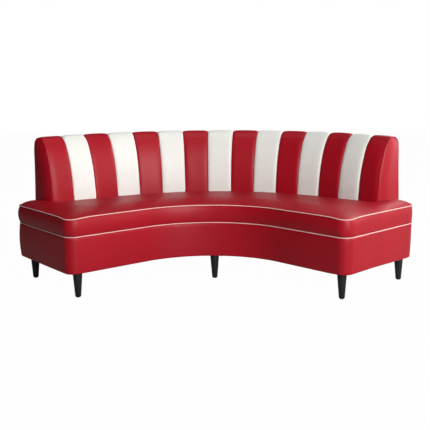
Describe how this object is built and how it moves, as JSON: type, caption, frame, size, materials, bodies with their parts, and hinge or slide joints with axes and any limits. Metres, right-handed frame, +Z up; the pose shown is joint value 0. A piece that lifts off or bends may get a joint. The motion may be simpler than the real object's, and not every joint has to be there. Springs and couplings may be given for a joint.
{
  "type": "curved banquette sofa",
  "caption": "Curved armless sofa, hollow to the front: red vinyl base and boxed seat with white piping, channelled back in red and white, turned black legs.",
  "frame": {"origin": "centre of the bounding box on the floor plane under the glides", "axes": "+X along the sofa to the sitter's left, which is the picture's right; +Y from the hollow front to the rear; +Z up"},
  "size_m": [2.2502, 1.117, 0.818],
  "materials": {
    "red_vinyl": "semi-gloss smooth vinyl",
    "white_vinyl": "semi-gloss smooth vinyl",
    "piping_vinyl": "semi-gloss smooth vinyl",
    "black_wood": "satin black lacquer",
    "frame_wood": "raw plywood",
    "foam": "open-cell foam",
    "dust_cloth": "non-woven cloth",
    "steel": "zinc plated",
    "glide_plastic": "moulded nylon"
  },
  "bodies": {
    "root": {"base_front_rail": "frame_wood", "base_rear_rail": "frame_wood", "base_end_rails": "frame_wood", "corner_posts": "frame_wood", "base_ribs": "frame_wood", "leg_blocks": "frame_wood", "seat_deck": "frame_wood", "base_padding": "foam", "base_cover": "red_vinyl", "dust_cover": "dust_cloth", "seat_foam": "foam", "seat_boxing": "red_vinyl", "seat_top": "red_vinyl", "piping_top": "piping_vinyl", "piping_low": "piping_vinyl", "back_mount_rail": "frame_wood", "back_bottom_rail": "frame_wood", "back_top_rail": "frame_wood", "back_ribs": "frame_wood", "back_slats": "frame_wood", "back_foam": "foam", "back_rear_panel": "frame_wood", "back_rear_cover": "red_vinyl", "back_end_left": "red_vinyl", "back_end_right": "red_vinyl", "back_bolts": "steel", "back_nuts": "steel", "hanger_bolts": "steel", "tee_nuts": "steel", "glides": "glide_plastic", "channel_01": "red_vinyl", "channel_02": "white_vinyl", "channel_03": "red_vinyl", "channel_04": "white_vinyl", "channel_05": "red_vinyl", "channel_06": "white_vinyl", "channel_07": "red_vinyl", "channel_08": "white_vinyl", "channel_09": "red_vinyl", "channel_10": "white_vinyl", "channel_11": "red_vinyl", "channel_12": "white_vinyl", "channel_13": "red_vinyl", "channel_14": "white_vinyl", "channel_15": "red_vinyl", "leg_front_left": "black_wood", "leg_front_middle": "black_wood", "leg_front_right": "black_wood", "leg_rear_left": "black_wood", "leg_rear_middle": "black_wood", "leg_rear_right": "black_wood"}
  },
  "joints": []
}
